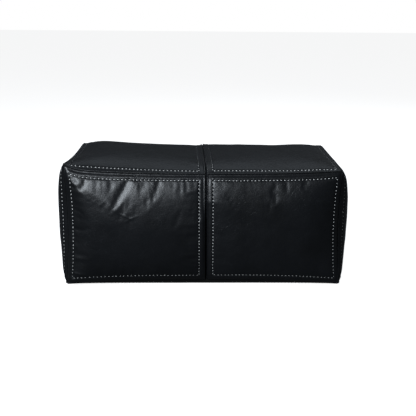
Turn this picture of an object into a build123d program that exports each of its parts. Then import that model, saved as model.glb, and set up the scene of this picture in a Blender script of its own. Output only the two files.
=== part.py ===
"""A long leather floor pouf: a stuffed, sewn leather box with a zip in its base.

Millimetres, +Z up. The origin is on the floor under the middle of the pouf, +X runs along its
length towards the end where the closed zip's slider parks, and -Y is the front.

The cover is ten leather panels. Each side panel is one crowned patch, and every layer inside or
outside it (seam thread, lining bag, stuffing, topstitching) is the same patch moved in or out.
The base is a shallow tray with a trench along its middle, and the zip lies in the trench's roof.
"""

import os
from build123d import *

# ---- Driving dimensions ------------------------------------------------------------------
LENGTH = 720.0        # between the corner seams, along X
DEPTH = 360.0         # between the corner seams, along Y
CORNER_TOP = 318.0    # height of the four upper corners
CORNER_BASE = 10.0    # height of the base seam
LONG_SEAM_DIP = 8.0   # the long top seams' middle lies this far under the corners
SAG_AT_QUARTER = 0.8  # share of that dip reached halfway between a corner and the middle
SHORT_SEAM_DIP = 5.0  # the short top seams' middle lies this far under the corners
CORNER_PULL = 7.0     # the upright corner seams are drawn in this far at half height
FACE_BULGE = 34.0     # a front or rear panel's middle stands this far out of its seams
CENTRE_BULGE = 20.0   # the upright centre seams' middle stands this far out
END_BULGE = 47.0      # an end panel's middle stands this far out
TOP_CROWN = 23.0      # a top panel's middle is this far over the corners
TOP_CENTRE_CROWN = 6  # the top's centre seam is this far over the corners at its middle

LEATHER = 1.6         # leather with its glued backing
LINER = 0.8           # calico
LINER_DEPTH = 3.0     # the lining bag's outside, measured in from the leather's outside
STUFFING_DEPTH = 4.2  # the stuffing's outside, measured the same way

STITCH_INSET = 18.0   # topstitching to seam
THREAD = 0.8          # waxed thread's thickness
THREAD_GAP = 0.1      # clearance between a thread and the layer that it lies on

RIM_RUN = 20.0        # the base's rim slopes over this width down to the floor
TRENCH_DEPTH = 14.0   # height of the trench's roof above the floor
TRENCH_ROOF = (640.0, 40.0)   # the trench at its roof, along X and Y
TRENCH_MOUTH = (664.0, 68.0)  # the trench at the floor
OPENING = (556.0, 18.0)       # window in the trench's roof, where the zip shows

TAPE = 0.7            # zip tape's thickness
TAPE_WIDTH = 15.0     # each tape, from its teeth outwards
TAPE_LENGTH = 576.0
TAPE_GRIP = 1.0       # how far a tape's edge reaches into its teeth
TAPE_PLAY = 0.05      # clearance all round a tape where metal grips it
TOOTH_PITCH = 4.0     # along one tape
TOOTH_WIDTH = 1.7     # along the zip
TOOTH_REACH = 4.0     # from the zip's middle line to a tooth's back
TOOTH_OVERLAP = 1.2   # past the middle line, between its neighbours
TOOTH_HEIGHT = 2.5
TEETH_PER_SIDE = 133
STOP_WIDTH = 4.0      # bottom stop, along the zip

PLATE = 1.2           # slider plate's thickness
PLATE_GAP = 3.0       # between the slider's two plates
SLIDER_LENGTH = 14.0
SLIDER_TAIL = 10.6    # slider's width at the end that leaves closed teeth behind
SLIDER_NOSE = 14.0    # slider's width at its nose
PLATE_CORNER = 1.5    # rounding of a plate's corners
RAIL_HEIGHT = 0.85
RAIL_THICKNESS = 1.0
NECK = (2.0, 2.8)     # the post that joins the two plates, along X and Y
NECK_PLACE = 5.6      # its centre, forward of the slider's middle

BRIDGE = 6.4          # the staple that holds the pull, along X
BRIDGE_THICKNESS = 1.0
BRIDGE_WIDTH = 2.4
BRIDGE_DROP = 4.45    # under the lower plate
PULL_THICKNESS = 1.6
PULL_DROP = 1.55      # pull's pin, under the lower plate
PULL_LENGTH = 30.0
PULL_WIDTH = 9.0
PULL_WINDOW = 6.0     # length of the pull's slot for the staple
PULL_HANG = 20.0      # degrees that the pull droops until its tip is just off the floor
PULL_HOLE = 2.2       # radius of the hole in the pull's tip

# ---- Derived places ----------------------------------------------------------------------
HALF_X, HALF_Y = LENGTH / 2, DEPTH / 2
MIDDLE_Z = (CORNER_TOP + CORNER_BASE) / 2
HALF_Z = (CORNER_TOP - CORNER_BASE) / 2
TAPE_Z = TRENCH_DEPTH + LEATHER + THREAD_GAP
TEETH_Z = TAPE_Z + TAPE / 2
TEETH_END = (TEETH_PER_SIDE - 0.5) * TOOTH_PITCH / 2 + TOOTH_WIDTH / 2
SLIDER_X = TEETH_END + 1.0 + NECK[0] / 2 - NECK_PLACE
LOWER_PLATE_Z = TEETH_Z - PLATE_GAP / 2 - PLATE
PULL_Z = LOWER_PLATE_Z - PULL_DROP


# ---- Crowned patches ---------------------------------------------------------------------
def through(start, middle, end):
    """The control point that takes a quadratic curve from start through middle to end."""
    return Vector(middle) * 2 - (Vector(start) + Vector(end)) / 2


def patch(lower, upper, near, far, middle):
    """A 3 x 3 net of control points. lower and upper are (start, middle, end) along u, near and
    far are the middles of the edges at u = 0 and u = 1, and the surface passes through middle."""
    (a, low, b), (d, high, c) = lower, upper
    edges = [through(a, low, b), through(d, high, c), through(a, near, d), through(b, far, c)]
    corners = [Vector(p) for p in (a, b, c, d)]
    centre = Vector(middle) * 4 - sum(corners, Vector()) / 4 - sum(edges, Vector()) / 2
    return [
        [corners[0], edges[0], corners[1]],
        [edges[2], centre, edges[3]],
        [corners[3], edges[1], corners[2]],
    ]


def moved_in(point, depth):
    """The place of a point on the layer that lies this far inside the leather's outside."""
    return Vector(
        point.X * (1 - depth / HALF_X),
        point.Y * (1 - depth / HALF_Y),
        MIDDLE_Z + (point.Z - MIDDLE_Z) * (1 - depth / HALF_Z),
    )


def layer(net, depth):
    """A whole net moved in to a layer."""
    return [[moved_in(point, depth) for point in row] for row in net]


def polar(points, s, t):
    """The blossom of a quadratic curve, which gives the control points of any part of it."""
    p, q, r = points
    return p * ((1 - s) * (1 - t)) + q * (s * (1 - t) + t * (1 - s)) + r * (s * t)


def part_of(net, u0, u1, v0, v1):
    """The net of the rectangle u0..u1, v0..v1 of a patch."""
    rows = [[polar(row, s, t) for s, t in ((u0, u0), (u0, u1), (u1, u1))] for row in net]
    columns = [[rows[k][i] for k in range(3)] for i in range(3)]
    cut = [[polar(column, s, t) for s, t in ((v0, v0), (v0, v1), (v1, v1))] for column in columns]
    return [[cut[i][k] for i in range(3)] for k in range(3)]


def border(net):
    """A net's four edges as lists of control points."""
    return [net[0], net[2], [row[0] for row in net], [row[2] for row in net]]


def slab(net, outer_depth, inner_depth):
    """The solid between two layers of a patch."""
    outside, inside = layer(net, outer_depth), layer(net, inner_depth)
    faces = [Face.make_bezier_surface(outside), Face.make_bezier_surface(inside)]
    for outer_edge, inner_edge in zip(border(outside), border(inside)):
        faces.append(Face.make_bezier_surface([outer_edge, inner_edge]))
    solid = Solid(Shell(faces))
    return solid if solid.volume > 0 else Solid(solid.wrapped.Reversed())


# ---- The cover's outside -----------------------------------------------------------------
def side_panels():
    """{name: net} of the eight crowned panels, each net with u along the panel and v up it, or
    backwards from the front on a top panel."""
    nets = {}
    middle_top = CORNER_TOP - LONG_SEAM_DIP
    quarter_top = CORNER_TOP - SAG_AT_QUARTER * LONG_SEAM_DIP
    for end, sign in (("left", -1), ("right", 1)):
        x = sign * HALF_X
        for side, facing in (("front", -1), ("rear", 1)):
            y = facing * HALF_Y
            corner_top, corner_base = (x, y, CORNER_TOP), (x, y, CORNER_BASE)
            centre_top, centre_base = (0, y, middle_top), (0, y, CORNER_BASE)
            nets[f"{side}_{end}_panel"] = patch(
                (corner_base, (x / 2, y, CORNER_BASE), centre_base),
                (corner_top, (x / 2, y, quarter_top), centre_top),
                (x - sign * CORNER_PULL, y - facing * CORNER_PULL, MIDDLE_Z),
                (0, y + facing * CENTRE_BULGE, MIDDLE_Z),
                (x / 2, y + facing * FACE_BULGE, MIDDLE_Z),
            )
        long_seams = [
            ((x, y, CORNER_TOP), (x / 2, y, quarter_top), (0, y, middle_top))
            for y in (-HALF_Y, HALF_Y)
        ]
        nets[f"top_{end}_panel"] = patch(
            *long_seams,
            (x, 0, CORNER_TOP - SHORT_SEAM_DIP),
            (0, 0, CORNER_TOP + TOP_CENTRE_CROWN),
            (x / 2, 0, CORNER_TOP + TOP_CROWN),
        )
        nets[f"{end}_end_panel"] = patch(
            ((x, -HALF_Y, CORNER_BASE), (x, 0, CORNER_BASE), (x, HALF_Y, CORNER_BASE)),
            ((x, -HALF_Y, CORNER_TOP), (x, 0, CORNER_TOP - SHORT_SEAM_DIP), (x, HALF_Y, CORNER_TOP)),
            (x - sign * CORNER_PULL, -HALF_Y + CORNER_PULL, MIDDLE_Z),
            (x - sign * CORNER_PULL, HALF_Y - CORNER_PULL, MIDDLE_Z),
            (x + sign * END_BULGE, 0, MIDDLE_Z),
        )
    return nets


def seam_length(net):
    """(length along u, length along v) of a patch, measured at its edges' ends."""
    return (net[0][2] - net[0][0]).length, (net[2][0] - net[0][0]).length


# ---- The base's tray ---------------------------------------------------------------------
def frustum(low, high, z_low, z_high):
    """A solid between two rectangles (X, Y) at two heights."""
    sections = [Pos(0, 0, z_low) * Rectangle(*low), Pos(0, 0, z_high) * Rectangle(*high)]
    return loft(sections, ruled=True)


def tray(depth):
    """The solid inside one layer of the base, up to that layer's seam."""
    at_seam = (LENGTH - 2 * depth, DEPTH - 2 * depth)
    at_floor = (at_seam[0] - 2 * RIM_RUN, at_seam[1] - 2 * RIM_RUN)
    return frustum(at_floor, at_seam, depth, CORNER_BASE + depth)


def trench(depth):
    """The space that the zip's trench takes out of a layer of the base. Its walls run on down past
    the floor, so that it cuts right through every layer."""
    roof = [side + 2 * depth for side in TRENCH_ROOF]
    below = [2 * mouth - top + 2 * depth for mouth, top in zip(TRENCH_MOUTH, TRENCH_ROOF)]
    return frustum(below, roof, depth - TRENCH_DEPTH, depth + TRENCH_DEPTH)


def base_sheet():
    """The whole leather base, with its mitred rim, its trench and the zip's window."""
    outline = (LENGTH, DEPTH)
    mitre = frustum(outline, [side - 2 * LEATHER for side in outline], CORNER_BASE, CORNER_BASE + LEATHER)
    sheet = tray(0) + mitre - tray(LEATHER)
    roof_block = trench(LEATHER) & Pos(0, 0, TRENCH_DEPTH / 2 + LEATHER) * Box(LENGTH, DEPTH, TRENCH_DEPTH)
    sheet = (sheet + roof_block) - trench(0)
    return sheet - Pos(0, 0, TRENCH_DEPTH) * Box(*OPENING, 4 * LEATHER)


def front_half(shape):
    """The part of a shape in front of the pouf's middle."""
    return shape & Pos(0, -DEPTH / 2, 0) * Box(2 * LENGTH, DEPTH, 4 * CORNER_TOP)


# ---- Soft insides ------------------------------------------------------------------------
def filled(nets, depth):
    """The closed solid inside one layer: the crowned sides, and the tray under them."""
    faces = [Face.make_bezier_surface(layer(net, depth)) for net in nets.values()]
    x, y, z = HALF_X - depth, HALF_Y - depth, CORNER_BASE + depth
    outline = [(-x, -y, z), (0, -y, z), (x, -y, z), (x, y, z), (0, y, z), (-x, y, z)]
    faces.append(Face(Wire.make_polygon(outline)))
    body = Solid(Shell(faces))
    body = body if body.volume > 0 else Solid(body.wrapped.Reversed())
    return body + tray(depth) - trench(depth + TAPE + TOOTH_HEIGHT + PLATE)


# ---- Threads -----------------------------------------------------------------------------
def topstitch(net):
    """The row of thread that runs round a panel, a fixed distance inside its seams."""
    long, high = seam_length(net)
    u, v = STITCH_INSET / long, STITCH_INSET / high
    du, dv = THREAD / long, THREAD / high
    runs = [
        (u, 1 - u, v, v + dv),
        (u, 1 - u, 1 - v - dv, 1 - v),
        (u, u + du, v + dv, 1 - v - dv),
        (1 - u - du, 1 - u, v + dv, 1 - v - dv),
    ]
    return [slab(part_of(net, *run), -THREAD_GAP - THREAD, -THREAD_GAP) for run in runs]


def seam_run(net, side):
    """The hidden sewing thread just inside one edge of a panel."""
    long, high = seam_length(net)
    du, dv = THREAD / long, THREAD / high
    margin_u, margin_v = 4 * du, 4 * dv
    run = {
        "upper": (margin_u, 1 - margin_u, 1 - margin_v, 1 - margin_v + dv),
        "lower": (margin_u, 1 - margin_u, margin_v - dv, margin_v),
        "near": (margin_u - du, margin_u, margin_v, 1 - margin_v),
        "far": (1 - margin_u, 1 - margin_u + du, margin_v, 1 - margin_v),
    }[side]
    return slab(part_of(net, *run), LEATHER + THREAD_GAP, LEATHER + THREAD_GAP + THREAD)


def base_threads():
    """The front base panel's topstitching: a row round its rim and one beside the zip."""
    band = Pos(0, 0, 2.6) * Box(2 * LENGTH, 2 * DEPTH, THREAD)
    ring = (tray(-THREAD_GAP - THREAD) - tray(-THREAD_GAP)) & band
    zip_row = Box(TRENCH_ROOF[0] - 40, THREAD, THREAD)
    zip_row = Pos(0, -(OPENING[1] / 2 + 4), TRENCH_DEPTH - THREAD_GAP - THREAD / 2) * zip_row
    return front_half(ring) + zip_row


# ---- The zip -----------------------------------------------------------------------------
def tape(facing):
    """One woven zip tape, lying on the inside of the trench's roof."""
    inner_edge = TOOTH_REACH - TAPE_GRIP
    strip = Box(TAPE_LENGTH, TAPE_WIDTH, TAPE)
    return Pos(0, facing * (inner_edge + TAPE_WIDTH / 2), TEETH_Z) * strip


def crimped(metal):
    """Metal at mid-length of the zip with slots for the two tapes that it grips."""
    slot = Box(2 * STOP_WIDTH, TAPE_WIDTH, TAPE + 2 * TAPE_PLAY)
    y = TOOTH_REACH - TAPE_GRIP - TAPE_PLAY + TAPE_WIDTH / 2
    return metal - Pos(0, y, 0) * slot - Pos(0, -y, 0) * slot


def teeth(facing):
    """One side's teeth. The two sides are half a pitch apart, so that they mesh."""
    reach = TOOTH_REACH + TOOTH_OVERLAP
    tooth = Box(TOOTH_WIDTH, reach, TOOTH_HEIGHT)
    tooth = chamfer(tooth.edges().filter_by(Axis.X), 0.5)
    tooth = crimped(Pos(0, facing * (reach / 2 - TOOTH_OVERLAP), 0) * tooth)
    first = -(TEETH_PER_SIDE - 0.5) * TOOTH_PITCH / 2 + (0 if facing < 0 else TOOTH_PITCH / 2)
    return [Pos(first + k * TOOTH_PITCH, 0, TEETH_Z) * tooth for k in range(TEETH_PER_SIDE)]


def stop(x, y, width):
    """A crimped metal stop with its middle at x, y."""
    block = Box(STOP_WIDTH, width, TOOTH_HEIGHT)
    block = fillet(block.edges().filter_by(Axis.Z), 0.6)
    return Pos(x, 0, TEETH_Z) * crimped(Pos(0, y, 0) * block)


def plate_outline():
    """A slider plate seen from above: narrow at its tail, wide at its nose."""
    half, tail, nose = SLIDER_LENGTH / 2, SLIDER_TAIL / 2, SLIDER_NOSE / 2
    points = [(-half, -tail), (0, -tail), (half, -nose), (half, nose), (0, tail), (-half, tail)]
    outline = Polygon(*points, align=None)
    ends = outline.vertices().group_by(Axis.X)
    return fillet(ends[0] + ends[-1], PLATE_CORNER)


def slider():
    """The two plates with their side rails, the neck between them and the staple underneath."""
    outline = plate_outline()
    plate = extrude(outline, PLATE)
    rail = extrude(outline - offset(outline, -RAIL_THICKNESS), RAIL_HEIGHT)
    nose_way, tail_way = SLIDER_TAIL, SLIDER_TAIL - 2 * RAIL_THICKNESS
    rail -= Pos(SLIDER_LENGTH / 2, 0, 0) * Box(4 * RAIL_THICKNESS, nose_way, 4 * RAIL_HEIGHT)
    rail -= Pos(-SLIDER_LENGTH / 2, 0, 0) * Box(4 * RAIL_THICKNESS, tail_way, 4 * RAIL_HEIGHT)
    upper_z = LOWER_PLATE_Z + PLATE + PLATE_GAP
    body = Pos(0, 0, LOWER_PLATE_Z) * plate + Pos(0, 0, LOWER_PLATE_Z + PLATE) * rail
    body += Pos(0, 0, upper_z) * plate + Pos(0, 0, upper_z - RAIL_HEIGHT) * rail
    neck = Box(*NECK, PLATE_GAP)
    body += Pos(NECK_PLACE, 0, LOWER_PLATE_Z + PLATE + PLATE_GAP / 2) * neck
    staple = Box(BRIDGE, BRIDGE_WIDTH, BRIDGE_DROP)
    staple = fillet(staple.edges().filter_by(Axis.Y).group_by(Axis.Z)[0], 1.2)
    eye = Box(BRIDGE - 2 * BRIDGE_THICKNESS, 2 * BRIDGE_WIDTH, BRIDGE_DROP)
    staple = Pos(0, 0, -BRIDGE_DROP / 2) * staple - Pos(0, 0, BRIDGE_THICKNESS - BRIDGE_DROP / 2) * eye
    body += Pos(0, 0, LOWER_PLATE_Z) * staple
    return Pos(SLIDER_X, 0, 0) * body


def pull():
    """The flat tab that hangs from the slider's staple and points at the zip's far end."""
    body_length = PULL_LENGTH - PULL_WINDOW
    half = PULL_WIDTH / 2
    tab = Pos(-PULL_WINDOW - body_length / 2, 0) * RectangleRounded(body_length, PULL_WIDTH, half * 0.6)
    arms = Pos(-PULL_WINDOW / 2 - 1, 0) * Rectangle(PULL_WINDOW + 2, PULL_WIDTH - 1)
    slot = Pos(-PULL_WINDOW / 2 + 2, 0) * Rectangle(PULL_WINDOW + 4, BRIDGE_WIDTH + 0.8)
    hole = Pos(-PULL_LENGTH + half, 0) * Circle(PULL_HOLE)
    flat = Pos(0, 0, -PULL_THICKNESS / 2) * extrude(tab + arms - slot - hole, PULL_THICKNESS)
    pin = Rot(90, 0, 0) * Cylinder(PULL_THICKNESS / 2, PULL_WIDTH - 1)
    return Pos(SLIDER_X, 0, PULL_Z) * Rot(0, -PULL_HANG, 0) * (flat + pin)


# ---- Assembly ----------------------------------------------------------------------------
def build():
    """{node: solid or list of solids} of the whole pouf."""
    nets = side_panels()
    nodes = {name: slab(net, 0, LEATHER) for name, net in nets.items()}
    for name, net in nets.items():
        nodes[name.replace("_panel", "_topstitch")] = topstitch(net)

    base, base_stitches = front_half(base_sheet()), base_threads()
    nodes["base_front_panel"], nodes["base_rear_panel"] = base, Rot(0, 0, 180) * base
    nodes["base_front_topstitch"] = base_stitches
    nodes["base_rear_topstitch"] = Rot(0, 0, 180) * base_stitches

    sides = [name for name in nets if not name.startswith("top")]
    halves = [f"{side}_left_panel" for side in ("front", "top", "rear")]
    uprights = [f"{side}_{end}_panel" for side in ("front", "rear") for end in ("left", "right")]
    nodes["top_seam_thread"] = [seam_run(nets[name], "upper") for name in sides]
    nodes["base_seam_thread"] = [seam_run(nets[name], "lower") for name in sides]
    nodes["corner_seam_thread"] = [seam_run(nets[name], "near") for name in uprights]
    nodes["centre_seam_thread"] = [seam_run(nets[name], "far") for name in halves]

    nodes["lining_bag"] = filled(nets, LINER_DEPTH) - filled(nets, LINER_DEPTH + LINER)
    nodes["stuffing"] = filled(nets, STUFFING_DEPTH)

    nodes["zip_tape_front"], nodes["zip_tape_rear"] = tape(-1), tape(1)
    nodes["zip_teeth_front"], nodes["zip_teeth_rear"] = teeth(-1), teeth(1)
    stop_x = TEETH_END + STOP_WIDTH / 2 + 0.3
    top_x = SLIDER_X + SLIDER_LENGTH / 2 + STOP_WIDTH / 2 + 0.3
    nodes["zip_bottom_stop"] = stop(-stop_x, 0, 2 * TOOTH_REACH)
    nodes["zip_top_stops"] = [stop(top_x, side * TOOTH_REACH, 2.6) for side in (-1, 1)]
    nodes["zip_slider"] = slider()
    nodes["zip_pull"] = pull()
    return nodes


os.makedirs("parts", exist_ok=True)
for node, shape in build().items():
    solids = shape if isinstance(shape, list) else shape.solids()
    export_step(Compound(children=solids) if len(solids) > 1 else solids[0], f"parts/{node}.step")
print(f"slider middle x {SLIDER_X:.2f}, pull pin z {PULL_Z:.2f}, lower plate z {LOWER_PLATE_Z:.2f}")
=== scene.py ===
import math

import bpy
import numpy as np
from mathutils import Matrix, Vector


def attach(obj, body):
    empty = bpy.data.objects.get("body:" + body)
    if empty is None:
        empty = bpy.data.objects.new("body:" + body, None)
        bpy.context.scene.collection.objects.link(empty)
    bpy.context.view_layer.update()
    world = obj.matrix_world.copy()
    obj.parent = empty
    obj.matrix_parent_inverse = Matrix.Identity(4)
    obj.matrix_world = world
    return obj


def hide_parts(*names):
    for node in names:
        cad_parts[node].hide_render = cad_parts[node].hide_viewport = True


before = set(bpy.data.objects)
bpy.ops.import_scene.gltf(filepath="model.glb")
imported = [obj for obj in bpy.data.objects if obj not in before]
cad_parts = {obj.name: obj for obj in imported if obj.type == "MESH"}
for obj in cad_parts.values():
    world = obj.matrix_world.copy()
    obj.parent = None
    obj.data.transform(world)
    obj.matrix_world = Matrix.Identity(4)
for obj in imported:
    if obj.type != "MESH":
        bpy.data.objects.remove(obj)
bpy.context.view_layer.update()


# ---- Camera ----------------------------------------------------------------------------------
# A long lens looks down a little on the pouf's front, from two metres off and left of its middle.

camera_data = bpy.data.cameras.new("camera")
camera_data.lens, camera_data.sensor_width = 60.6, 36
camera = bpy.data.objects.new("camera", camera_data)
bpy.context.scene.collection.objects.link(camera)
pitch, yaw, roll = math.radians(15.1), math.radians(1.44), math.radians(0.48)
aim = Vector((math.sin(yaw) * math.cos(pitch), math.cos(yaw) * math.cos(pitch), -math.sin(pitch)))
level = Vector((math.cos(yaw), -math.sin(yaw), 0))
upright = level.cross(aim)
across = level * math.cos(roll) + upright * math.sin(roll)
upward = upright * math.cos(roll) - level * math.sin(roll)
turned = Matrix((across, upward, -aim)).transposed().to_4x4()
camera.matrix_world = Matrix.Translation((-0.033, -1.944, 0.693)) @ turned
bpy.context.scene.camera = camera


# ---- The sewn cover, before its details --------------------------------------------------------
# Eight crowned leather panels and a flat base, sewn edge to edge into a box and stuffed tight.
# The cover is a lattice on a box. Its seams are held where they are sewn, and its leather, cut a
# little large, is blown up by the stuffing as a cloth, so that it strains and wrinkles at the seams.

HALF_LENGTH, HALF_DEPTH = 0.360, 0.180
CELLS_X, CELLS_Y, CELLS_Z = 96, 48, 42
CORNERS = {(-1, -1): 0.3335, (1, -1): 0.3160, (-1, 1): 0.3245, (1, 1): 0.3195}
EAR = 0.020            # a raised corner dies away over this length of seam
BASE_SEAM = 0.0050     # at its corners
DRAWN_IN = 0.007       # the upright corner seams, at half height
GRIP_AT_SEAM = 0.7     # how firmly the doubled leather beside a seam keeps its place
GRIP_INSIDE = 0.05     # and how firmly the wadding holds the leather away from the seams
EASE = 0.0055          # how much larger the loosest leather was cut than the space it covers


def crown(t, power):
    """0 at t = 0 and t = 1, and 1 between them, with shoulders that get squarer with power."""
    return 1 - np.abs(2 * t - 1) ** power


def edge(distance, run=0.0095):
    """0 at a seam, rising to 1 away from it: how the stuffing puffs a panel out beside a seam."""
    return 1 - np.exp(-np.maximum(distance, 0) / run)


def seam_height(t, length, ends, levels, sag, power=2.5):
    """A top seam's height at t: it runs level to level, sags between, and rises into its ears."""
    run = levels[0] * (1 - t) + levels[1] * t - sag * crown(t, power)
    first = (ends[0] - levels[0]) * np.exp(-t * length / EAR)
    last = (ends[1] - levels[1]) * np.exp(-(1 - t) * length / EAR)
    return run + first + last


def top_level(x, y):
    """The height that the four top seams carry at x, y from -1 to 1, blended across between them."""
    s, t = (x + 1) / 2, (y + 1) / 2
    long, short = 2 * HALF_LENGTH, 2 * HALF_DEPTH
    c = CORNERS
    front = seam_height(s, long, (c[-1, -1], c[1, -1]), (0.3160, 0.3145), 0.0090)
    rear = seam_height(s, long, (c[-1, 1], c[1, 1]), (0.3195, 0.3190), 0.0065)
    left = seam_height(t, short, (c[-1, -1], c[-1, 1]), (0.3335, 0.3245), 0.0090, 2)
    right = seam_height(t, short, (c[1, -1], c[1, 1]), (0.3160, 0.3195), -0.0005)
    flat = (c[-1, -1] * (1 - s) + c[1, -1] * s) * (1 - t) + (c[-1, 1] * (1 - s) + c[1, 1] * s) * t
    return front * (1 - t) + rear * t + left * (1 - s) + right * s - flat


def slack_cover(x, y, z):
    """The cover's places on the box lattice x, y from -1 to 1 and z from 0 to 1. Each side is its
    seams' own surface plus a crown that stands out of it."""
    half, forward = np.abs(x), (1 - y) / 2
    on_front, on_end, on_top = np.abs(y) == 1, np.abs(x) == 1, z == 1
    top = top_level(x, y)
    base = BASE_SEAM + 0.0130 * (1 - half**3) * np.abs(y) ** 9 + 0.005 * (1 - y**2) * np.abs(x) ** 9
    pull = DRAWN_IN * crown(z, 2) * (half * np.abs(y)) ** 6
    place_x = HALF_LENGTH * x - np.sign(x) * pull + (0.0070 - 0.0015 * z) * (1 - x**2) * forward
    place_x = place_x + 0.007 * ((1 + x) / 2) ** 4 * (1 - forward) ** 2 * z
    place_x = place_x + np.where(x > 0, 0.006, 0.005) * x**3 * (1 - z) ** 1.5
    place_y = HALF_DEPTH * y - np.sign(y) * pull
    place_z = base + (top - base) * z

    beside_top, beside_base = edge(0.30 * (1 - z)), edge(0.30 * z)
    puff = beside_top * beside_base * edge(HALF_LENGTH * (1 - half))
    puff = puff * (0.5 + 0.5 * edge(HALF_LENGTH * half, 0.02))
    ridge = np.where(x < 0, 0.95 - 0.37 * edge(x + 1, 0.30), 0.76)
    ridge = np.where(y < 0, ridge, 0.60)
    below = 1 - np.abs(1 - z / ridge) ** 3.4
    above = 1 - np.clip((z - ridge) / (1 - ridge), 0, 1) ** 1.05
    facet = (1 - half**6) * np.where(z < ridge, below, above)
    face = 0.012 * puff + np.where(x < 0, 0.024, 0.016) * facet
    place_y = place_y + np.where(on_front, np.sign(y) * face, 0)

    puff = beside_top * beside_base * edge(HALF_DEPTH * (1 - np.abs(y)))
    belly = np.where(z < 0.7, 1 - np.abs(1 - z / 0.7) ** 2.2, 1 - np.abs((z - 0.7) / 0.3) ** 2)
    end = 0.013 * puff + np.where(x < 0, 0.017, 0.021) * (1 - np.abs(y) ** 3.6) * belly
    place_x = place_x + np.where(on_end, np.sign(x) * end, 0)

    rise = np.where(x < 0, 0.0190 + 0.0160 * half, 0.0230 - 0.0035 * np.clip((half - 0.3) / 0.3, 0, 1))
    rise = rise * (1 - half**14) * (1 - np.abs(y) ** np.where(y < 0, 5.8, 7.0))
    place_z = place_z + np.where(on_top & ~on_front & ~on_end, rise, 0)
    return np.stack([place_x, place_y, place_z], axis=-1)


shell = np.full((CELLS_X + 1, CELLS_Y + 1, CELLS_Z + 1), -1)
cells = (CELLS_X, CELLS_Y, CELLS_Z)
steps = np.meshgrid(*(np.arange(n + 1) for n in cells), indexing="ij")
outside = np.zeros(shell.shape, bool)
for step, count in zip(steps, cells):
    outside |= (step == 0) | (step == count)
shell[outside] = np.arange(outside.sum())
lattice = [step[outside] / count for step, count in zip(steps, cells)]
slack = slack_cover(2 * lattice[0] - 1, 2 * lattice[1] - 1, lattice[2])

middle = CELLS_X // 2
SIDES = {
    "front_left": shell[: middle + 1, 0, :],
    "front_right": shell[middle:, 0, :],
    "rear_left": shell[middle::-1, -1, :],
    "rear_right": shell[:middle - 1:-1, -1, :],
    "top_left": shell[: middle + 1, :, -1],
    "top_right": shell[middle:, :, -1],
    "left_end": shell[0, ::-1, :],
    "right_end": shell[-1, :, :],
    "base": shell[::-1, :, 0],
}


def quads_of(index):
    """The faces of a grid of vertex numbers, turning the way that its rows cross its columns."""
    return np.stack([index[:-1, :-1], index[1:, :-1], index[1:, 1:], index[:-1, 1:]], -1).reshape(-1, 4)


def mesh_from(name, points, quads, smooth=True):
    """A mesh object at the origin from arrays of places and of four-sided faces."""
    mesh = bpy.data.meshes.new(name)
    mesh.vertices.add(len(points))
    mesh.vertices.foreach_set("co", np.ascontiguousarray(points, np.float32).ravel())
    mesh.loops.add(quads.size)
    mesh.loops.foreach_set("vertex_index", np.ascontiguousarray(quads, np.int32).ravel())
    mesh.polygons.add(len(quads))
    mesh.polygons.foreach_set("loop_start", np.arange(0, quads.size, 4, dtype=np.int32))
    mesh.polygons.foreach_set("use_smooth", np.full(len(quads), smooth))
    mesh.update(calc_edges=True)
    piece = bpy.data.objects.new(name, mesh)
    bpy.context.scene.collection.objects.link(piece)
    return piece


def stuffed(places, quads, held, ease, frames=30):
    """Where the slack cover settles once it is pressed out from inside. Its points are held by
    one set of shares, and its leather is larger than its place by another."""
    piece = mesh_from("cover_being_stuffed", places, quads)
    for name, shares in (("seams", held), ("tight", 1 - ease)):
        group = piece.vertex_groups.new(name=name)
        shares = np.round(shares, 2)
        for share in np.unique(shares):
            group.add(np.flatnonzero(shares == share).tolist(), float(share), "REPLACE")
    cloth = piece.modifiers.new("cloth", "CLOTH")
    settings = cloth.settings
    settings.quality = 6
    settings.mass = 0.6
    settings.tension_stiffness = 60
    settings.compression_stiffness = 60
    settings.shear_stiffness = 30
    settings.bending_stiffness = 4
    settings.tension_damping = settings.compression_damping = settings.shear_damping = 20
    settings.air_damping = 4
    settings.vertex_group_mass = "seams"
    settings.vertex_group_shrink = "tight"
    settings.shrink_min, settings.shrink_max = -EASE, 0
    settings.use_pressure = True
    settings.uniform_pressure_force = 7
    settings.effector_weights.gravity = 0
    cloth.point_cache.frame_start, cloth.point_cache.frame_end = 1, frames
    scene = bpy.context.scene
    for number in range(1, frames + 1):
        scene.frame_set(number)
    settled = piece.evaluated_get(bpy.context.evaluated_depsgraph_get()).to_mesh()
    out = np.empty(len(places) * 3, np.float32)
    settled.vertices.foreach_get("co", out)
    scene.frame_set(1)
    bpy.data.objects.remove(piece)
    return out.reshape(-1, 3).astype(float)


cover_quads = np.concatenate([quads_of(index) for index in SIDES.values()])
to_seam = np.full(len(slack), np.inf)
for index in SIDES.values():
    edges = np.concatenate([index[0], index[-1], index[:, 0], index[:, -1]])
    points = index.ravel()
    gaps = np.linalg.norm(slack[points][:, None] - slack[edges][None], axis=2).min(1)
    to_seam[points] = np.minimum(to_seam[points], gaps)
held = GRIP_INSIDE + (GRIP_AT_SEAM - GRIP_INSIDE) * np.exp(-((to_seam / 0.016) ** 2))
held = np.round(held, 2)
held[to_seam == 0] = 1
held[SIDES["base"]] = 1
ease = np.zeros(len(slack))
x, z = 2 * lattice[0] - 1, lattice[2]
high = np.clip((z - 0.3) / 0.3, 0, 1)
ease[np.concatenate([SIDES["left_end"].ravel(), SIDES["right_end"].ravel()])] = 0.35
for side, least, most in (("front_left", 0.05, 0.85), ("rear_left", 0.1, 0.6), ("rear_right", 0.1, 0.4)):
    ease[SIDES[side]] = least + most * high[SIDES[side]]
at = SIDES["front_right"]
ease[at] = 0.05 + 0.75 * high[at] * np.exp(-(((x[at] - 0.66) / 0.16) ** 2))
ease = np.round(ease * np.clip((to_seam - 0.012) / 0.02, 0, 1), 2)
cover = stuffed(slack, cover_quads, held, ease)


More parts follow.
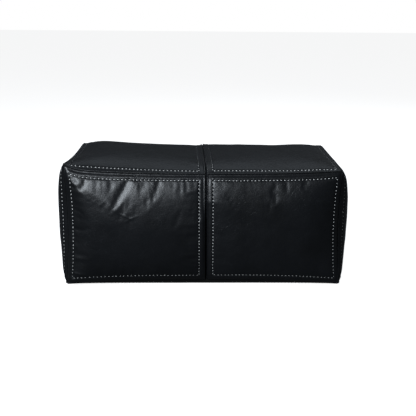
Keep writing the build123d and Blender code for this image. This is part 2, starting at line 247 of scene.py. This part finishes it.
def outward_at_points(places, quads):
    """The unit direction out of the cover at each of its points, shared across its seams."""
    corner = places[quads]
    facing = np.cross(corner[:, 2] - corner[:, 0], corner[:, 3] - corner[:, 1])
    total = np.zeros_like(places)
    for k in range(4):
        np.add.at(total, quads[:, k], facing)
    return total / np.linalg.norm(total, axis=1, keepdims=True)


outward = outward_at_points(cover, cover_quads)


# ---- Stuffing --------------------------------------------------------------------------------
# Loose cotton and polyester wadding fills the pouf. It takes the cover's shape, a little inside
# the lining, and leaves the zip's trench free.

TRENCH_HALF = (0.346, 0.043)
TRENCH_CLEAR = 0.0235


def unit(vectors):
    return vectors / np.linalg.norm(vectors, axis=-1, keepdims=True)


def smooth(t):
    """0 below 0 and 1 above 1, with an even slope at both."""
    t = np.clip(t, 0, 1)
    return t * t * (3 - 2 * t)


def filling(name, depth):
    """A closed body that fills the cover down to a depth inside it, over the zip's trench."""
    places = cover - outward * depth
    x, y = np.abs(places[:, 0]), np.abs(places[:, 1])
    over_zip = smooth(np.minimum((TRENCH_HALF[0] - x) / 0.008, (TRENCH_HALF[1] - y) / 0.010))
    floor_level = 0.0045 + depth / 3 + over_zip * (TRENCH_CLEAR - 0.006)
    under = np.zeros(len(places), bool)
    under[SIDES["base"]] = True
    rim = np.minimum(HALF_LENGTH - np.abs(cover[:, 0]), HALF_DEPTH - np.abs(cover[:, 1]))
    settle = np.where(under, smooth(rim / 0.03), 0)
    places[:, 2] += settle * (floor_level - places[:, 2])
    return mesh_from(name, places, cover_quads)


class Wire:
    """One output of a material's node, which takes arithmetic with other outputs and numbers."""

    def __init__(self, tree, socket):
        self.tree, self.socket = tree, socket

    def with_math(self, operation, first, second):
        sum_node = self.tree.nodes.new("ShaderNodeMath")
        sum_node.operation = operation
        for slot, value in zip(sum_node.inputs, (first, second)):
            if isinstance(value, Wire):
                self.tree.links.new(value.socket, slot)
            else:
                slot.default_value = value
        return Wire(self.tree, sum_node.outputs[0])

    def __add__(self, other):
        return self.with_math("ADD", self, other)

    def __radd__(self, other):
        return self.with_math("ADD", other, self)

    def __sub__(self, other):
        return self.with_math("SUBTRACT", self, other)

    def __rsub__(self, other):
        return self.with_math("SUBTRACT", other, self)

    def __mul__(self, other):
        return self.with_math("MULTIPLY", self, other)

    def __rmul__(self, other):
        return self.with_math("MULTIPLY", other, self)

    def __truediv__(self, other):
        return self.with_math("DIVIDE", self, other)

    def __pow__(self, other):
        return self.with_math("POWER", self, other)

    def __abs__(self):
        return self.with_math("ABSOLUTE", self, 0.0)

    def between(self, low, high):
        """0 where this is under low and 1 where it is over high, with a smooth step between."""
        step = self.tree.nodes.new("ShaderNodeMapRange")
        step.interpolation_type = "SMOOTHSTEP"
        step.inputs["From Min"].default_value = low
        step.inputs["From Max"].default_value = high
        self.tree.links.new(self.socket, step.inputs["Value"])
        return Wire(self.tree, step.outputs["Result"])


class Finish:
    """A material with one Principled shader."""

    def __init__(self, name):
        self.material = bpy.data.materials.new(name)
        self.material.use_nodes = True
        self.tree = self.material.node_tree
        self.shader = self.tree.nodes["Principled BSDF"]

    def node(self, kind, output=0, settings=None, stops=None, **sockets):
        """A node of any kind. A socket's name is written with _ for a space, and takes a value or
        a Wire; stops are a ramp's places and colours."""
        made = self.tree.nodes.new("ShaderNode" + kind)
        for name, value in (settings or {}).items():
            setattr(made, name, value)
        if stops:
            ramp = made.color_ramp
            while len(ramp.elements) < len(stops):
                ramp.elements.new(0.5)
            for element, (place, colour) in zip(ramp.elements, stops):
                element.position, element.color = place, (*colour, 1)
        for name, value in sockets.items():
            self.put(made.inputs[name.replace("_", " ")], value)
        return Wire(self.tree, made.outputs[output])

    def put(self, socket, value):
        if isinstance(value, Wire):
            self.tree.links.new(value.socket, socket)
        elif isinstance(value, tuple) and len(value) == 3 and socket.type == "RGBA":
            socket.default_value = (*value, 1)
        else:
            socket.default_value = value

    def mix(self, amount, first, second):
        """A colour between two colours, or outputs, by an amount."""
        made = self.tree.nodes.new("ShaderNodeMix")
        made.data_type = "RGBA"
        self.put(made.inputs["Factor"], amount)
        self.put(made.inputs[6], first)
        self.put(made.inputs[7], second)
        return Wire(self.tree, made.outputs[2])

    def shade(self, **sockets):
        """Sets the shader's sockets, by name."""
        for name, value in sockets.items():
            self.put(self.shader.inputs[name.replace("_", " ")], value)
        return self.material

    def bump(self, height, distance, strength=1.0, over=None):
        """The normal of a surface raised by height times distance."""
        extra = {"Normal": over} if over else {}
        return self.node("Bump", Strength=strength, Distance=distance, Height=height, **extra)


def wadding():
    """Matted fibres: a clumpy cloud with fine strands over it."""
    finish = Finish("cotton_wadding")
    place = finish.node("TexCoord", output="Object")
    clumps = finish.node("TexNoise", Vector=place, Scale=28.0, Detail=5.0, Roughness=0.6)
    strands = finish.node("TexNoise", Vector=place, Scale=420.0, Detail=3.0, Distortion=2.5)
    colour = finish.mix(clumps, (0.62, 0.60, 0.55), (0.82, 0.81, 0.78))
    normal = finish.bump(clumps * 0.8 + strands * 0.2, 0.004)
    return finish.shade(Base_Color=colour, Roughness=0.95, Normal=normal)


stuffing = filling("wadding_fill", 0.0115)
stuffing.data.materials.append(wadding())
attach(stuffing, "cover")
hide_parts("stuffing")


# ---- Lining bag ------------------------------------------------------------------------------
# A bag of unbleached calico keeps the wadding off the leather, so that the cover can come off.

def calico():
    """Plain weave: two crossed sets of threads, with slubs."""
    finish = Finish("unbleached_calico")
    place = finish.node("TexCoord", output="Object")
    warp = finish.node("TexWave", Vector=place, Scale=260.0, Distortion=0.4,
                       settings={"bands_direction": "X"})
    weft = finish.node("TexWave", Vector=place, Scale=260.0, Distortion=0.4,
                       settings={"bands_direction": "Z"})
    slubs = finish.node("TexNoise", Vector=place, Scale=90.0, Detail=4.0)
    colour = finish.mix(slubs, (0.52, 0.47, 0.38), (0.70, 0.66, 0.57))
    normal = finish.bump(warp * 0.5 + weft * 0.5 + slubs * 0.4, 0.0003)
    return finish.shade(Base_Color=colour, Roughness=0.9, Normal=normal)


lining = filling("calico_bag", 0.0098)
wall = lining.modifiers.new("calico_thickness", "SOLIDIFY")
wall.thickness, wall.offset = 0.0008, -1
lining.data.materials.append(calico())
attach(lining, "cover")
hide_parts("lining_bag")


# ---- Leather panels --------------------------------------------------------------------------
# Each side panel is black goat leather, glued to a thin backing. Its edges are sewn face to face
# with its neighbours' and turned in, so that each seam lies deep between two rolled edges.
# A row of hand topstitching, sewn down through the turned allowance, runs round inside the seams.

LEATHER = 0.0016
SEAM_ROLL = 0.0036      # a seam's rolled edge takes up this much of each panel
SEAM_SINK = 0.0042      # the seam's depth between its rolled edges
LIP = 0.0018            # and the roll stands this much above the leather beside it
ALLOWANCE = 0.0050      # leather that is turned in past the seam
INSET = 0.018           # topstitching to seam
STITCH_PITCH = 0.0094
HEIGHT_OF = {side: 0.360 if side.startswith("top") else 0.306 for side in SIDES}
PUCKERS = {"front_left": 0.0012, "front_right": 0.0003, "top_left": 0.0001, "top_right": 0.0001}
TOP_ROWS_SUNK = 0.0006  # the top's rows, but for its front ones, are pulled this much deeper
CREASES = {"front_left": [((0.020, 0.285), (0.170, 0.190), 0.010, 0.0012),
                          ((0.135, 0.206), (0.178, 0.184), 0.0022, 0.0012),
                          ((0.150, 0.178), (0.190, 0.200), 0.0025, 0.0007),
                          ((0.014, 0.034), (0.058, 0.027), 0.0022, 0.0011)]}


def curve_weights(t, count):
    """For places t from 0 to 1 along count points: the first of the four points round each, and the
    four's shares on the smooth curve through them all."""
    spot = np.clip(t, 0, 1) * (count - 1)
    first = np.clip(np.floor(spot).astype(int), 0, count - 2)
    f = (spot - first)[..., None]
    shares = [-f + 2 * f**2 - f**3, 2 - 5 * f**2 + 3 * f**3, f + 4 * f**2 - 3 * f**3, f**3 - f**2]
    return first, np.concatenate(shares, -1) / 2


def on_grid(grid, u, v):
    """The smooth surface through a grid of vectors, at u, v from 0 to 1."""
    padded = np.concatenate([2 * grid[:1] - grid[1:2], grid, 2 * grid[-1:] - grid[-2:-1]])
    padded = np.concatenate(
        [2 * padded[:, :1] - padded[:, 1:2], padded, 2 * padded[:, -1:] - padded[:, -2:-1]], 1)
    row, row_share = curve_weights(u, grid.shape[0])
    column, column_share = curve_weights(v, grid.shape[1])
    total = np.zeros(u.shape + (3,))
    for k in range(4):
        for m in range(4):
            share = row_share[..., k] * column_share[..., m]
            total += share[..., None] * padded[row + k, column + m]
    return total


def dapple(seed, x, y, size_x, size_y):
    """Soft blotches from -1 to 1 of about size_x by size_y: random heights on a grid, smoothed."""
    heights = np.random.default_rng(seed).uniform(-1, 1, (64, 64))
    x, y = x / size_x + 7.3, y / size_y + 3.1
    i, j = np.floor(x).astype(int), np.floor(y).astype(int)
    f, g = smooth(x - i), smooth(y - j)
    near = heights[i % 64, j % 64] * (1 - f) + heights[(i + 1) % 64, j % 64] * f
    far = heights[i % 64, (j + 1) % 64] * (1 - f) + heights[(i + 1) % 64, (j + 1) % 64] * f
    return near * (1 - g) + far * g


def fold(x, y, start, end, width, height):
    """A soft raised crease from start to end that fades at both."""
    run = np.subtract(end, start)
    length = np.hypot(*run)
    along = ((x - start[0]) * run[0] + (y - start[1]) * run[1]) / length
    beside = ((x - start[0]) * run[1] - (y - start[1]) * run[0]) / length
    fade = smooth(along / (0.3 * length)) * smooth((length - along) / (0.3 * length))
    return height * fade * np.exp(-((beside / width) ** 2))


def relief(side, a, b, width):
    """How far the panel stands out of its smooth surface, where a and b are distances from its
    first and its lower seam: its turned seams, its pressed stitch row, its puckers and its folds."""
    seed = 20 * list(SIDES).index(side)
    height = HEIGHT_OF[side]
    seams = ((a, b, height), (width - a, b, height), (b, a, width), (height - b, a, width))
    near = np.minimum.reduce([distance for distance, _, _ in seams])
    roll = np.clip(1 - near / SEAM_ROLL, 0, 1)
    out = -SEAM_SINK * (1 - np.sqrt(1 - roll**2)) + np.minimum(near, 0)
    strip = np.clip((near - SEAM_ROLL) / (INSET - SEAM_ROLL), 0, 1)
    out += LIP * np.exp(-(((near - SEAM_ROLL) / 0.0014) ** 2)) + 0.0004 * np.sin(np.pi * strip)
    out -= 0.0013 * np.exp(-(((near - INSET) / 0.0021) ** 2))
    for number, (distance, along, length) in enumerate(seams):
        inner = np.exp(-((np.maximum(distance - INSET, 0) / 0.030) ** 2)) * smooth((distance - INSET) / 0.008)
        out += PUCKERS.get(side, 0.0002) * inner * dapple(seed + number, along, distance, 0.011, 0.060)
        stitched = np.clip((along - INSET) / (length - 2 * INSET), 0, 1)
        swell = np.cos(2 * np.pi * stitched * round((length - 2 * INSET) / STITCH_PITCH))
        rise = 0.0009 if side.startswith("top") and number != 2 else 0.0004
        out += rise * swell * np.exp(-(((distance - INSET) / 0.0028) ** 2)) * (near > INSET - 0.006)
    calm = smooth((near - INSET) / 0.03)
    out += 0.0006 * calm * dapple(seed + 10, a, b, 0.045, 0.060)
    out += 0.0002 * calm * dapple(seed + 11, a, b, 0.018, 0.022)
    for line in CREASES.get(side, ()):
        out += fold(a, b, *line)
    return out


def laid(distance, length, first=True, last=True):
    """A distance along the leather as a share of the box's side. Leather first comes steeply up
    out of a deep seam, so near one it covers less of the side than its own length."""
    near, far = np.maximum(distance, 0), np.maximum(length - distance, 0)
    near_steep, far_steep = (0.007 * edge(d, 0.011) * np.exp(-d / 0.06) for d in (near, far))
    return np.clip((distance - first * near_steep + last * far_steep) / length, 0, 1)


def surface(side, a, b):
    """(places, outward directions) of a panel's outside at distances a and b from its seams."""
    index, width, height = SIDES[side], 0.360, HEIGHT_OF[side]
    flat_first = side in ("front_right", "rear_left", "top_right")
    flat_last = side in ("front_left", "rear_right", "top_left")
    u, v = laid(a, width, not flat_first, not flat_last), laid(b, height, side.startswith("top"))
    places = on_grid(cover[index], u, v)
    away = unit(on_grid(outward[index], u, v))
    return places + away * relief(side, a, b, width)[..., None], away


def lines_along(length):
    """Distances of a panel's rows from a seam: turned in, round the roll, close at the stitches,
    and then even, with the same at the far seam."""
    turned = [-ALLOWANCE, -0.4 * ALLOWANCE]
    roll = SEAM_ROLL * (1 - np.cos(np.radians(np.arange(0, 91, 15))))
    at_stitches = INSET + np.array([-13.8, -13, -12, -10.5, -8, -5.5, -3.6, -2.2, -1.1, 0, 1.1, 2.2, 3.6,
                                    5.4]) / 1000
    near = np.concatenate([turned, roll, at_stitches])
    count = 2 * round((length / 2 - near[-1]) / 0.0024)
    even = np.linspace(near[-1], length - near[-1], count + 1)[1:-1]
    return np.concatenate([near, even, length - near[::-1]])


def leather_sheet(name, outer, thickness=LEATHER):
    """A closed sheet whose outside is a grid of places, with its inside one thickness behind."""
    rows, columns = np.gradient(outer, axis=0), np.gradient(outer, axis=1)
    inner = outer - unit(np.cross(rows, columns)) * thickness
    count = outer.shape[0] * outer.shape[1]
    index = np.arange(count).reshape(outer.shape[:2])
    faces = [quads_of(index), quads_of(index + count)[:, ::-1]]
    ring = np.concatenate([index[:-1, 0], index[-1, :-1], index[:0:-1, -1], index[0, :0:-1]])
    following = np.roll(ring, -1)
    faces.append(np.stack([following, ring, ring + count, following + count], -1))
    points = np.concatenate([outer.reshape(-1, 3), inner.reshape(-1, 3)])
    return mesh_from(name, points, np.concatenate(faces))


def goat_leather(name, dark, pale, gloss):
    """Dyed hide: fine pebbles, hair-thin creases, cloudy dye, and a shine that comes and goes."""
    finish = Finish(name)
    place = finish.node("TexCoord", output="Object")
    pebbles = finish.node("TexVoronoi", output="Distance", Vector=place, Scale=520.0)
    grain = finish.node("TexNoise", Vector=place, Scale=950.0, Detail=2.0)
    cloud = finish.node("TexNoise", Vector=place, Scale=7.0, Detail=4.0, Roughness=0.6)
    handled = finish.node("TexNoise", Vector=place, Scale=34.0, Detail=5.0, Roughness=0.65)
    vein = finish.node("TexNoise", Vector=place, Scale=46.0, Detail=3.0, Distortion=0.6)
    creases = 1 - abs(vein * 2 - 1).between(0.0, 0.045)
    marks = finish.node("TexNoise", Vector=place, Scale=11.0, Detail=2.0).between(0.48, 0.66)
    colour = finish.mix(cloud.between(0.3, 0.7), dark, pale)
    colour = finish.mix(creases * marks * 0.5, colour, tuple(1.6 * c for c in pale))
    height = pebbles * 0.5 + grain * 0.25 - creases * marks * 0.5
    normal = finish.bump(height, 0.00022, over=finish.bump(handled, 0.0012))
    roughness = gloss + handled * 0.14 + pebbles * 0.10
    return finish.shade(Base_Color=colour, Roughness=roughness, Normal=normal)


cover_leather = goat_leather("black_goat_leather", (0.0036, 0.0041, 0.0050), (0.0066, 0.0074, 0.0090), 0.26)

for side in SIDES:
    if side == "base":
        continue
    a, b = np.meshgrid(lines_along(0.360), lines_along(HEIGHT_OF[side]), indexing="ij")
    panel = leather_sheet(f"{side}_leather", surface(side, a, b)[0])
    panel.data.materials.append(cover_leather)
    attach(panel, "cover")
    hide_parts(f"{side}_panel")


# ---- Topstitching ----------------------------------------------------------------------------
# Waxed off-white cotton, sewn by hand: each stitch is a short two-ply twist that stands a little
# proud of the leather in the middle and dives into its hole at both ends.

THREAD = 0.0019
STITCH = 0.0044


def stitch_shape(length, thickness, rings=7, sides=6):
    """Places and faces of one stitch along x with z out of the leather: a tapering twisted tube."""
    t, turn = np.meshgrid(np.linspace(-1, 1, rings), np.arange(sides) * 2 * np.pi / sides, indexing="ij")
    radius = thickness / 2 * (1 - 0.55 * t**4) * (1 + 0.12 * np.cos(2 * (turn - 2.2 * t)))
    rise = thickness * (0.26 - 1.05 * np.abs(t) ** 3.2)
    points = np.stack([t * length / 2, radius * np.cos(turn), rise + radius * np.sin(turn)], -1)
    index = np.arange(rings * sides).reshape(rings, sides)
    index = np.concatenate([index, index[:, :1]], 1)
    tube = quads_of(index)[:, ::-1]
    first, last = index[0, :sides], index[-1, :sides]
    ends = [[first[0], first[1], first[2], first[3]], [first[0], first[3], first[4], first[5]],
            [last[3], last[2], last[1], last[0]], [last[5], last[4], last[3], last[0]]]
    return points.reshape(-1, 3), np.concatenate([tube, np.array(ends)])


def sewn_row(name, places, along, away, length, thickness):
    """One mesh of a stitch at each place, lying along its direction and standing away."""
    shape, faces = stitch_shape(length, thickness)
    along, away = unit(along), unit(away)
    beside = unit(np.cross(away, along))
    away = np.cross(along, beside)
    frames = np.stack([along, beside, away], 1)
    points = places[:, None] + np.einsum("pk,nkc->npc", shape, frames)
    quads = faces[None] + np.arange(len(places))[:, None, None] * len(shape)
    return mesh_from(name, points.reshape(-1, 3), quads.reshape(-1, 4))


def rectangle_row(width, height, inset, pitch, seed):
    """(a, b, step a, step b) of stitches round a rectangle inset in another, a little uneven."""
    rng = np.random.default_rng(seed)
    rows = []
    corners = [(inset, inset), (width - inset, inset), (width - inset, height - inset), (inset, height - inset)]
    for start, end in zip(corners, corners[1:] + corners[:1]):
        run = np.subtract(end, start)
        length = np.hypot(*run)
        count = round(length / pitch)
        t = (np.arange(count) + 0.5 + rng.uniform(-0.06, 0.06, count)) / count
        step = run / length
        wander = rng.normal(0, 0.00012, count)
        rows.append(np.stack([start[0] + run[0] * t - step[1] * wander, start[1] + run[1] * t + step[0] * wander,
                              np.full(count, step[0]), np.full(count, step[1])]))
    return np.concatenate(rows, 1)


def waxed_thread(name, colour, pale):
    """Twisted thread: diagonal plies, with wax that dulls it unevenly, and painted shade that darkens it towards
    the floor.
    """
    finish = Finish(name)
    place = finish.node("TexCoord", output="Object")
    height = finish.node("SeparateXYZ", output=2, Vector=place)
    plies = finish.node("TexWave", Vector=place, Scale=700.0, Distortion=1.0,
                        settings={"bands_direction": "DIAGONAL"})
    soil = finish.node("TexNoise", Vector=place, Scale=160.0, Detail=3.0)
    shade = finish.mix(soil.between(0.3, 0.7), colour, pale)
    # Painted shade: below 0.165 m the thread's colour darkens towards the floor, down to 0.22 of itself.
    above_painted_shade = height.between(-0.045, 0.165)
    shade = finish.mix(above_painted_shade, tuple(0.22 * c for c in colour), shade)
    normal = finish.bump(plies, 0.00015)
    return finish.shade(Base_Color=shade, Roughness=0.6 + soil * 0.2, Normal=normal)


white_thread = waxed_thread("waxed_white_thread", (0.74, 0.74, 0.72), (0.92, 0.92, 0.90))

for number, side in enumerate(SIDES):
    if side == "base":
        continue
    a, b, step_a, step_b = rectangle_row(0.360, HEIGHT_OF[side], INSET, STITCH_PITCH, number)
    here, away = surface(side, a, b)
    ahead = surface(side, a + 0.0005 * step_a, b + 0.0005 * step_b)[0]
    sunk = TOP_ROWS_SUNK * (side.startswith("top") & (b > INSET + 0.001))
    row = sewn_row(f"{side}_stitches", here - away * sunk[:, None], ahead - here, away, STITCH, THREAD)
    row.data.materials.append(white_thread)
    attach(row, "cover")
    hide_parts(f"{side}_topstitch")


# ---- Base panels -----------------------------------------------------------------------------
# Two long panels of duller hide make the base. Their rim slopes down from the seam to the floor,
# and along the middle they rise into a trench whose roof holds the zip clear of the floor.

RIM_RUN = 0.026
TRENCH_MOUTH, TRENCH_RUN, TRENCH_ROOF = (0.333, 0.0345), 0.0145, 0.014
WINDOW_HALF = (0.279, 0.009)
RIM_STITCHES, ZIP_STITCHES = 0.014, 0.013    # from the seam, and from the zip's middle line
BASE_INDEX = {"front": shell[:, :, 0], "rear": shell[::-1, ::-1, 0]}


def base_surface(half, a, b):
    """(places, outward directions) of half the base, a along it from its left end and b in from
    its long seam to its middle. The rear half is the front one's, turned half round."""
    index = BASE_INDEX[half]
    x, far = a - HALF_LENGTH, np.abs(a - HALF_LENGTH)
    edge = 0.0002 + WINDOW_HALF[1] * smooth((WINDOW_HALF[0] - far) / 0.004)
    roof_start = HALF_DEPTH - 0.020
    inside = -0.020 + (b - roof_start) / 0.020 * (0.020 - edge)
    y = np.where(b < roof_start, b - HALF_DEPTH, inside)
    near = np.minimum(np.minimum(a, 2 * HALF_LENGTH - a), b)
    u, v = np.clip(a / (2 * HALF_LENGTH), 0, 1), np.clip(b / (2 * HALF_DEPTH), 0, 1)
    seam = on_grid(cover[index], u, v)
    away = unit(on_grid(outward[index], u, v))
    rim = seam[..., 2] * np.clip(1 - np.maximum(near, 0) / RIM_RUN, 0, 1) ** 1.5
    wall = np.minimum(TRENCH_MOUTH[0] - far, TRENCH_MOUTH[1] - np.abs(y)) / TRENCH_RUN
    seed = 400 + len(half)
    soft = 0.0004 * (1 + dapple(seed, a, b, 0.05, 0.03)) * smooth(near / 0.03)
    z = rim + TRENCH_ROOF * smooth(wall) + soft * (1 - smooth(wall))
    flip = 1 if half == "front" else -1
    x, y = np.clip(x, -HALF_LENGTH, HALF_LENGTH), np.maximum(y, -HALF_DEPTH)
    by_seam = 1 - smooth(near / 0.028)
    x, y = x + by_seam * (seam[..., 0] * flip - x), y + by_seam * (seam[..., 1] * flip - y)
    roll = np.clip(1 - near / SEAM_ROLL, 0, 1)
    out = -SEAM_SINK * (1 - np.sqrt(1 - roll**2)) + np.minimum(near, 0)
    out -= 0.0010 * np.exp(-(((near - RIM_STITCHES) / 0.002) ** 2))
    beside_zip = np.exp(-(((np.abs(y) - ZIP_STITCHES) / 0.0015) ** 2)) * (far < TRENCH_MOUTH[0] - 0.02)
    out -= 0.0005 * beside_zip
    places = np.stack([x * flip, y * flip, z], -1) + away * out[..., None]
    return places, away


base_leather = goat_leather("base_hide", (0.0085, 0.0087, 0.0092), (0.0150, 0.0152, 0.0160), 0.42)
to_trench = lines_along(2 * HALF_DEPTH)
to_trench = to_trench[to_trench < HALF_DEPTH - 0.0375]
across_trench = HALF_DEPTH - np.array([36, 34.5, 32, 29.5, 27, 24.5, 22, 20.5, 19, 17, 15, 14, 13, 12, 11,
                                       6, 3, 1.2, 0.4, 0]) / 1000

for half in BASE_INDEX:
    b, a = np.meshgrid(np.concatenate([to_trench, across_trench]), lines_along(2 * HALF_LENGTH), indexing="ij")
    panel = leather_sheet(f"base_{half}_leather", base_surface(half, a, b)[0])
    panel.data.materials.append(base_leather)
    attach(panel, "cover")
    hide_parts(f"base_{half}_panel")

    rows = rectangle_row(2 * HALF_LENGTH, 2 * HALF_DEPTH, RIM_STITCHES, STITCH_PITCH, 40 + len(half))
    rows = rows[:, rows[1] < HALF_DEPTH]
    count = round(2 * (TRENCH_MOUTH[0] - 0.025) / STITCH_PITCH)
    along_zip = np.linspace(0.052, 2 * HALF_LENGTH - 0.052, count)
    far = np.abs(along_zip - HALF_LENGTH)
    edge = 0.0002 + WINDOW_HALF[1] * smooth((WINDOW_HALF[0] - far) / 0.004)
    b_zip = HALF_DEPTH - 0.020 + 0.020 * (0.020 - ZIP_STITCHES) / (0.020 - edge)
    zip_rows = np.stack([along_zip, b_zip, np.ones(count), np.zeros(count)])
    a, b, step_a, step_b = np.concatenate([rows, zip_rows], 1)
    here, away = base_surface(half, a, b)
    ahead = base_surface(half, a + 0.0005 * step_a, b + 0.0005 * step_b)[0]
    row = sewn_row(f"base_{half}_stitches", here, ahead - here, away, STITCH, THREAD)
    row.data.materials.append(white_thread)
    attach(row, "cover")
    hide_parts(f"base_{half}_topstitch")


# ---- Seam threads ----------------------------------------------------------------------------
# Black lock stitches join the panels, down between the two plies where each seam turns in.

SEAM_PITCH, SEAM_STITCH, SEAM_THREAD = 0.0050, 0.0042, 0.0009
SEAMS = {
    "top_seam": [shell[:, 0, -1], shell[:, -1, -1], shell[0, :, -1], shell[-1, :, -1]],
    "base_seam": [shell[:, 0, 0], shell[:, -1, 0], shell[0, :, 0], shell[-1, :, 0]],
    "corner_seam": [shell[i, j, :] for i in (0, -1) for j in (0, -1)],
    "centre_seam": [shell[middle, 0, :], shell[middle, -1, :], shell[middle, :, -1]],
}
black_thread = waxed_thread("black_seam_thread", (0.010, 0.010, 0.011), (0.022, 0.022, 0.024))

for seam, lines in SEAMS.items():
    places, directions, aways = [], [], []
    for line in lines:
        length = np.linalg.norm(np.diff(cover[line], axis=0), axis=1).sum()
        count = round(length / SEAM_PITCH)
        t = np.linspace(0.012, 0.988, count)
        still = np.zeros(count)
        run = on_grid(np.stack([cover[line]] * 2, 1), t, still)
        ahead = on_grid(np.stack([cover[line]] * 2, 1), t + 0.001, still)
        away = unit(on_grid(np.stack([outward[line]] * 2, 1), t, still))
        places.append(run - away * (SEAM_SINK + 0.0012))
        directions.append(ahead - run)
        aways.append(away)
    thread = sewn_row(f"{seam}_stitches", *map(np.concatenate, (places, directions, aways)),
                      SEAM_STITCH, SEAM_THREAD)
    thread.data.materials.append(black_thread)
    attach(thread, "cover")
    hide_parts(f"{seam}_thread")


# ---- Zip -------------------------------------------------------------------------------------
# A brass zip on woven tapes closes the base. Its teeth, stops, slider and pull are cast, tumbled
# and left to tarnish, brightest where they are rubbed.

def woven_tape():
    """Herringbone: ribs that lean one way and then the other in narrow stripes."""
    finish = Finish("zip_tape_weave")
    place = finish.node("TexCoord", output="Object")
    split = finish.node("SeparateXYZ", output=0, Vector=place)
    y = Wire(finish.tree, split.socket.node.outputs["Y"])
    stripe = abs(with_fraction(y * 300.0) - 0.5)
    ribs = with_fraction(split * 700.0 + stripe * 2.0)
    lint = finish.node("TexNoise", Vector=place, Scale=300.0, Detail=3.0)
    colour = finish.mix(lint.between(0.45, 0.75), (0.012, 0.012, 0.013), (0.035, 0.035, 0.037))
    normal = finish.bump(abs(ribs - 0.5) + lint * 0.3, 0.0003)
    return finish.shade(Base_Color=colour, Roughness=0.85, Normal=normal)


def with_fraction(wire):
    """What is left of a number after its whole part."""
    return wire.with_math("FRACT", wire, 0.0)


def antique_brass():
    """Tarnish lies in soft clouds over cast brass, and rubbed places shine through."""
    finish = Finish("antique_brass")
    place = finish.node("TexCoord", output="Object")
    tarnish = finish.node("TexNoise", Vector=place, Scale=180.0, Detail=4.0, Roughness=0.65)
    pits = finish.node("TexNoise", Vector=place, Scale=1500.0, Detail=2.0)
    worn = tarnish.between(0.38, 0.62)
    colour = finish.mix(worn, (0.20, 0.14, 0.065), (0.58, 0.42, 0.19))
    normal = finish.bump(pits, 0.00008)
    return finish.shade(Base_Color=colour, Metallic=1.0, Roughness=0.46 - worn * 0.16, Normal=normal)


brass, tape_weave = antique_brass(), woven_tape()
for node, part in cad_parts.items():
    if node.startswith("zip_"):
        part.material_slots[0].material = tape_weave if node.startswith("zip_tape") else brass


# ---- Floor and light -------------------------------------------------------------------------

far = 40.0
corners = np.array([(-far, -far, 0), (far, -far, 0), (far, far, 0), (-far, far, 0)])
floor = mesh_from("floor", corners, np.array([[0, 1, 2, 3]]))
pale = Finish("pale_floor")
floor.data.materials.append(pale.shade(Base_Color=(0.86, 0.86, 0.86), Roughness=0.8,
                                       Emission_Color=(1, 1, 1), Emission_Strength=0.88))
floor.visible_glossy = floor.visible_diffuse = False


def soft_box(name, place, towards, size, power, colour=(1, 1, 1)):
    """A soft light of a width and height at a place, turned towards a point."""
    data = bpy.data.lights.new(name, "AREA")
    data.shape, data.energy, data.color = "RECTANGLE", power, colour
    data.size, data.size_y = size
    light = bpy.data.objects.new(name, data)
    bpy.context.scene.collection.objects.link(light)
    turn = (Vector(place) - Vector(towards)).to_track_quat("Z", "Y").to_matrix().to_4x4()
    light.matrix_world = Matrix.Translation(place) @ turn
    light.visible_camera = False
    return light


soft_box("window", (-1.5, -2.4, 1.8), (-0.1, 0, 0.25), (1.4, 1.1), 102, (0.86, 0.93, 1.0))
soft_box("overhead", (0.2, 1.6, 2.7), (0, 0, 0), (2.5, 2.0), 8, (0.82, 0.91, 1.0))
soft_box("far_window", (-2.2, 2.2, 0.8), (0, 0, 0.3), (1.0, 0.8), 6, (0.86, 0.93, 1.0))
soft_box("back_room", (2.6, 1.7, 2.0), (0, 0, 0.2), (1.5, 1.2), 24, (0.90, 0.95, 1.0))

world = bpy.data.worlds.new("studio")
bpy.context.scene.world = world
world.use_nodes = True
sky = world.node_tree
background = sky.nodes["Background"]
path = sky.nodes.new("ShaderNodeLightPath")
seen = sky.nodes.new("ShaderNodeMix")
seen.data_type = "FLOAT"
seen.inputs["A"].default_value, seen.inputs["B"].default_value = 0.050, 1.0
sky.links.new(path.outputs["Is Camera Ray"], seen.inputs["Factor"])
sky.links.new(seen.outputs["Result"], background.inputs["Strength"])
tint = sky.nodes.new("ShaderNodeMix")
tint.data_type = "RGBA"
tint.inputs[6].default_value, tint.inputs[7].default_value = (0.82, 0.91, 1.0, 1), (1, 1, 1, 1)
sky.links.new(path.outputs["Is Camera Ray"], tint.inputs["Factor"])
sky.links.new(tint.outputs[2], background.inputs["Color"])
bpy.context.scene.view_settings.view_transform = "Standard"
